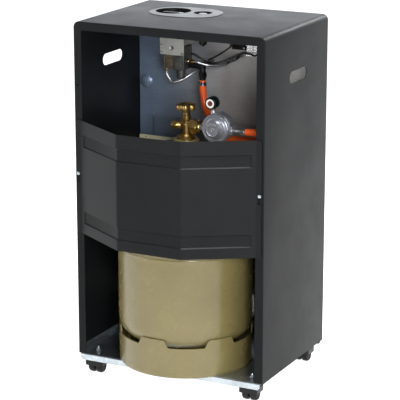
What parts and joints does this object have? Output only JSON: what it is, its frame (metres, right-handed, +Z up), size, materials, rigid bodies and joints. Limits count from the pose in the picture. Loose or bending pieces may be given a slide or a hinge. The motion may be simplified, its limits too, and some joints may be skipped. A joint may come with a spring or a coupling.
{
  "type": "gas cabinet heater",
  "caption": "Wheeled sheet-steel cabinet heater with radiant gas burners in front and a gas cylinder, regulator and hose in its open-backed compartment.",
  "frame": {"origin": "middle of the footprint on the floor, under the middle of the overall width and depth", "axes": "+Z up, burners and guard face -Y, open back and rear cover face +Y, +X to the left of someone who looks into the back"},
  "size_m": [0.42, 0.406, 0.7405],
  "materials": {
    "black_powder_coat": "satin black powder coat",
    "zinc_plate": "bright zinc coating",
    "yellow_zinc": "pale yellow passivated zinc",
    "bright_sheet": "bright rolled steel sheet, softly reflective",
    "grey_steel": "plain grey steel",
    "olive_paint": "olive-beige enamel",
    "brass": "machined brass",
    "grey_casting": "lacquered pressure-cast alloy",
    "dark_casting": "dark cast alloy",
    "aluminium_tube": "drawn aluminium",
    "orange_rubber": "smooth orange gas hose",
    "black_plastic": "fine-grained black plastic",
    "wire_chrome": "bright chrome-plated wire",
    "ceramic": "porous white fired ceramic",
    "lead_sheath": "black lead sheath"
  },
  "bodies": {
    "cabinet": {"cabinet_shell": "black_powder_coat", "base_plate": "zinc_plate", "front_panel": "black_powder_coat", "cover_screw_left": "zinc_plate", "cover_screw_right": "zinc_plate", "gas_cylinder": "olive_paint", "foot_ring": "olive_paint", "cylinder_valve": "brass", "valve_cap": "brass", "regulator_body": "grey_casting", "regulator_cover": "grey_casting", "pressure_gauge": "black_plastic", "hose_ferrule": "aluminium_tube", "gas_hose": "orange_rubber", "inlet_clamp": "zinc_plate", "hose_inlet": "black_plastic", "control_bezel": "black_plastic", "piezo_igniter": "black_plastic", "valve_bracket": "grey_steel", "gas_valve": "dark_casting", "burner_tube": "aluminium_tube", "pilot_tube": "aluminium_tube", "sensor_lead": "lead_sheath", "igniter_lead": "lead_sheath", "lead_clip": "black_powder_coat", "heat_shield": "bright_sheet", "cross_rail": "yellow_zinc", "guard_grille": "wire_chrome", "reflector": "bright_sheet", "burner_left": "grey_steel", "burner_middle": "grey_steel", "burner_right": "grey_steel", "plaque_left": "ceramic", "plaque_middle": "ceramic", "plaque_right": "ceramic", "pilot_burner": "grey_steel", "caster_plate_rear_left": "zinc_plate", "caster_plate_rear_right": "zinc_plate", "caster_plate_front_left": "zinc_plate", "caster_plate_front_right": "zinc_plate"},
    "rear_cover": {"rear_cover": "black_powder_coat"},
    "spindle": {"control_spindle": "zinc_plate"},
    "knob": {"control_knob": "black_plastic"},
    "igniter_button": {"igniter_button": "black_plastic"},
    "handwheel": {"valve_handwheel": "brass"},
    "coupling_nut": {"coupling_nut": "brass"},
    "caster_rear_left": {"caster_housing_rear_left": "black_plastic"},
    "wheel_rear_left_a": {"caster_wheel_rear_left_a": "black_plastic"},
    "wheel_rear_left_b": {"caster_wheel_rear_left_b": "black_plastic"},
    "caster_rear_right": {"caster_housing_rear_right": "black_plastic"},
    "wheel_rear_right_a": {"caster_wheel_rear_right_a": "black_plastic"},
    "wheel_rear_right_b": {"caster_wheel_rear_right_b": "black_plastic"},
    "caster_front_left": {"caster_housing_front_left": "black_plastic"},
    "wheel_front_left_a": {"caster_wheel_front_left_a": "black_plastic"},
    "wheel_front_left_b": {"caster_wheel_front_left_b": "black_plastic"},
    "caster_front_right": {"caster_housing_front_right": "black_plastic"},
    "wheel_front_right_a": {"caster_wheel_front_right_a": "black_plastic"},
    "wheel_front_right_b": {"caster_wheel_front_right_b": "black_plastic"}
  },
  "joints": [
    {"name": "cover_lift", "type": "slide", "parent": "cabinet", "child": "rear_cover", "axis": [0, 0, 1], "range_m": [0, 0.014]},
    {"name": "knob_turn", "type": "hinge", "parent": "cabinet", "child": "spindle", "pos_m": [0.086, -0.072, 0.715], "axis": [0, 0, 1], "range_deg": [0, 210]},
    {"name": "knob_push", "type": "slide", "parent": "spindle", "child": "knob", "axis": [0, 0, -1], "range_m": [0, 0.004], "stiffness_N_per_m": 600, "springref_m": -0.003},
    {"name": "igniter_push", "type": "slide", "parent": "cabinet", "child": "igniter_button", "axis": [0, 0, -1], "range_m": [0, 0.006], "stiffness_N_per_m": 1000, "springref_m": -0.002},
    {"name": "cylinder_valve_turn", "type": "hinge", "parent": "cabinet", "child": "handwheel", "pos_m": [0.001, 0.038, 0.56], "axis": [0, 0, 1], "range_deg": [0, 720]},
    {"name": "coupling_nut_turn", "type": "hinge", "parent": "cabinet", "child": "coupling_nut", "pos_m": [-0.02, 0.038, 0.531], "axis": [1, 0, 0], "continuous": true},
    {"name": "caster_rear_left_swivel", "type": "hinge", "parent": "cabinet", "child": "caster_rear_left", "pos_m": [0.177, 0.097, 0.036], "axis": [0, 0, 1], "continuous": true},
    {"name": "wheel_rear_left_a_spin", "type": "hinge", "parent": "caster_rear_left", "child": "wheel_rear_left_a", "pos_m": [0.18525, 0.102, 0.0132], "axis": [1, 0, 0], "continuous": true},
    {"name": "wheel_rear_left_b_spin", "type": "hinge", "parent": "caster_rear_left", "child": "wheel_rear_left_b", "pos_m": [0.16875, 0.102, 0.0132], "axis": [1, 0, 0], "continuous": true},
    {"name": "caster_rear_right_swivel", "type": "hinge", "parent": "cabinet", "child": "caster_rear_right", "pos_m": [-0.177, 0.097, 0.036], "axis": [0, 0, 1], "continuous": true},
    {"name": "wheel_rear_right_a_spin", "type": "hinge", "parent": "caster_rear_right", "child": "wheel_rear_right_a", "pos_m": [-0.16875, 0.102, 0.0132], "axis": [1, 0, 0], "continuous": true},
    {"name": "wheel_rear_right_b_spin", "type": "hinge", "parent": "caster_rear_right", "child": "wheel_rear_right_b", "pos_m": [-0.18525, 0.102, 0.0132], "axis": [1, 0, 0], "continuous": true},
    {"name": "caster_front_left_swivel", "type": "hinge", "parent": "cabinet", "child": "caster_front_left", "pos_m": [0.177, -0.159, 0.036], "axis": [0, 0, 1], "continuous": true},
    {"name": "wheel_front_left_a_spin", "type": "hinge", "parent": "caster_front_left", "child": "wheel_front_left_a", "pos_m": [0.18525, -0.154, 0.0132], "axis": [1, 0, 0], "continuous": true},
    {"name": "wheel_front_left_b_spin", "type": "hinge", "parent": "caster_front_left", "child": "wheel_front_left_b", "pos_m": [0.16875, -0.154, 0.0132], "axis": [1, 0, 0], "continuous": true},
    {"name": "caster_front_right_swivel", "type": "hinge", "parent": "cabinet", "child": "caster_front_right", "pos_m": [-0.177, -0.159, 0.036], "axis": [0, 0, 1], "continuous": true},
    {"name": "wheel_front_right_a_spin", "type": "hinge", "parent": "caster_front_right", "child": "wheel_front_right_a", "pos_m": [-0.16875, -0.154, 0.0132], "axis": [1, 0, 0], "continuous": true},
    {"name": "wheel_front_right_b_spin", "type": "hinge", "parent": "caster_front_right", "child": "wheel_front_right_b", "pos_m": [-0.18525, -0.154, 0.0132], "axis": [1, 0, 0], "continuous": true}
  ]
}
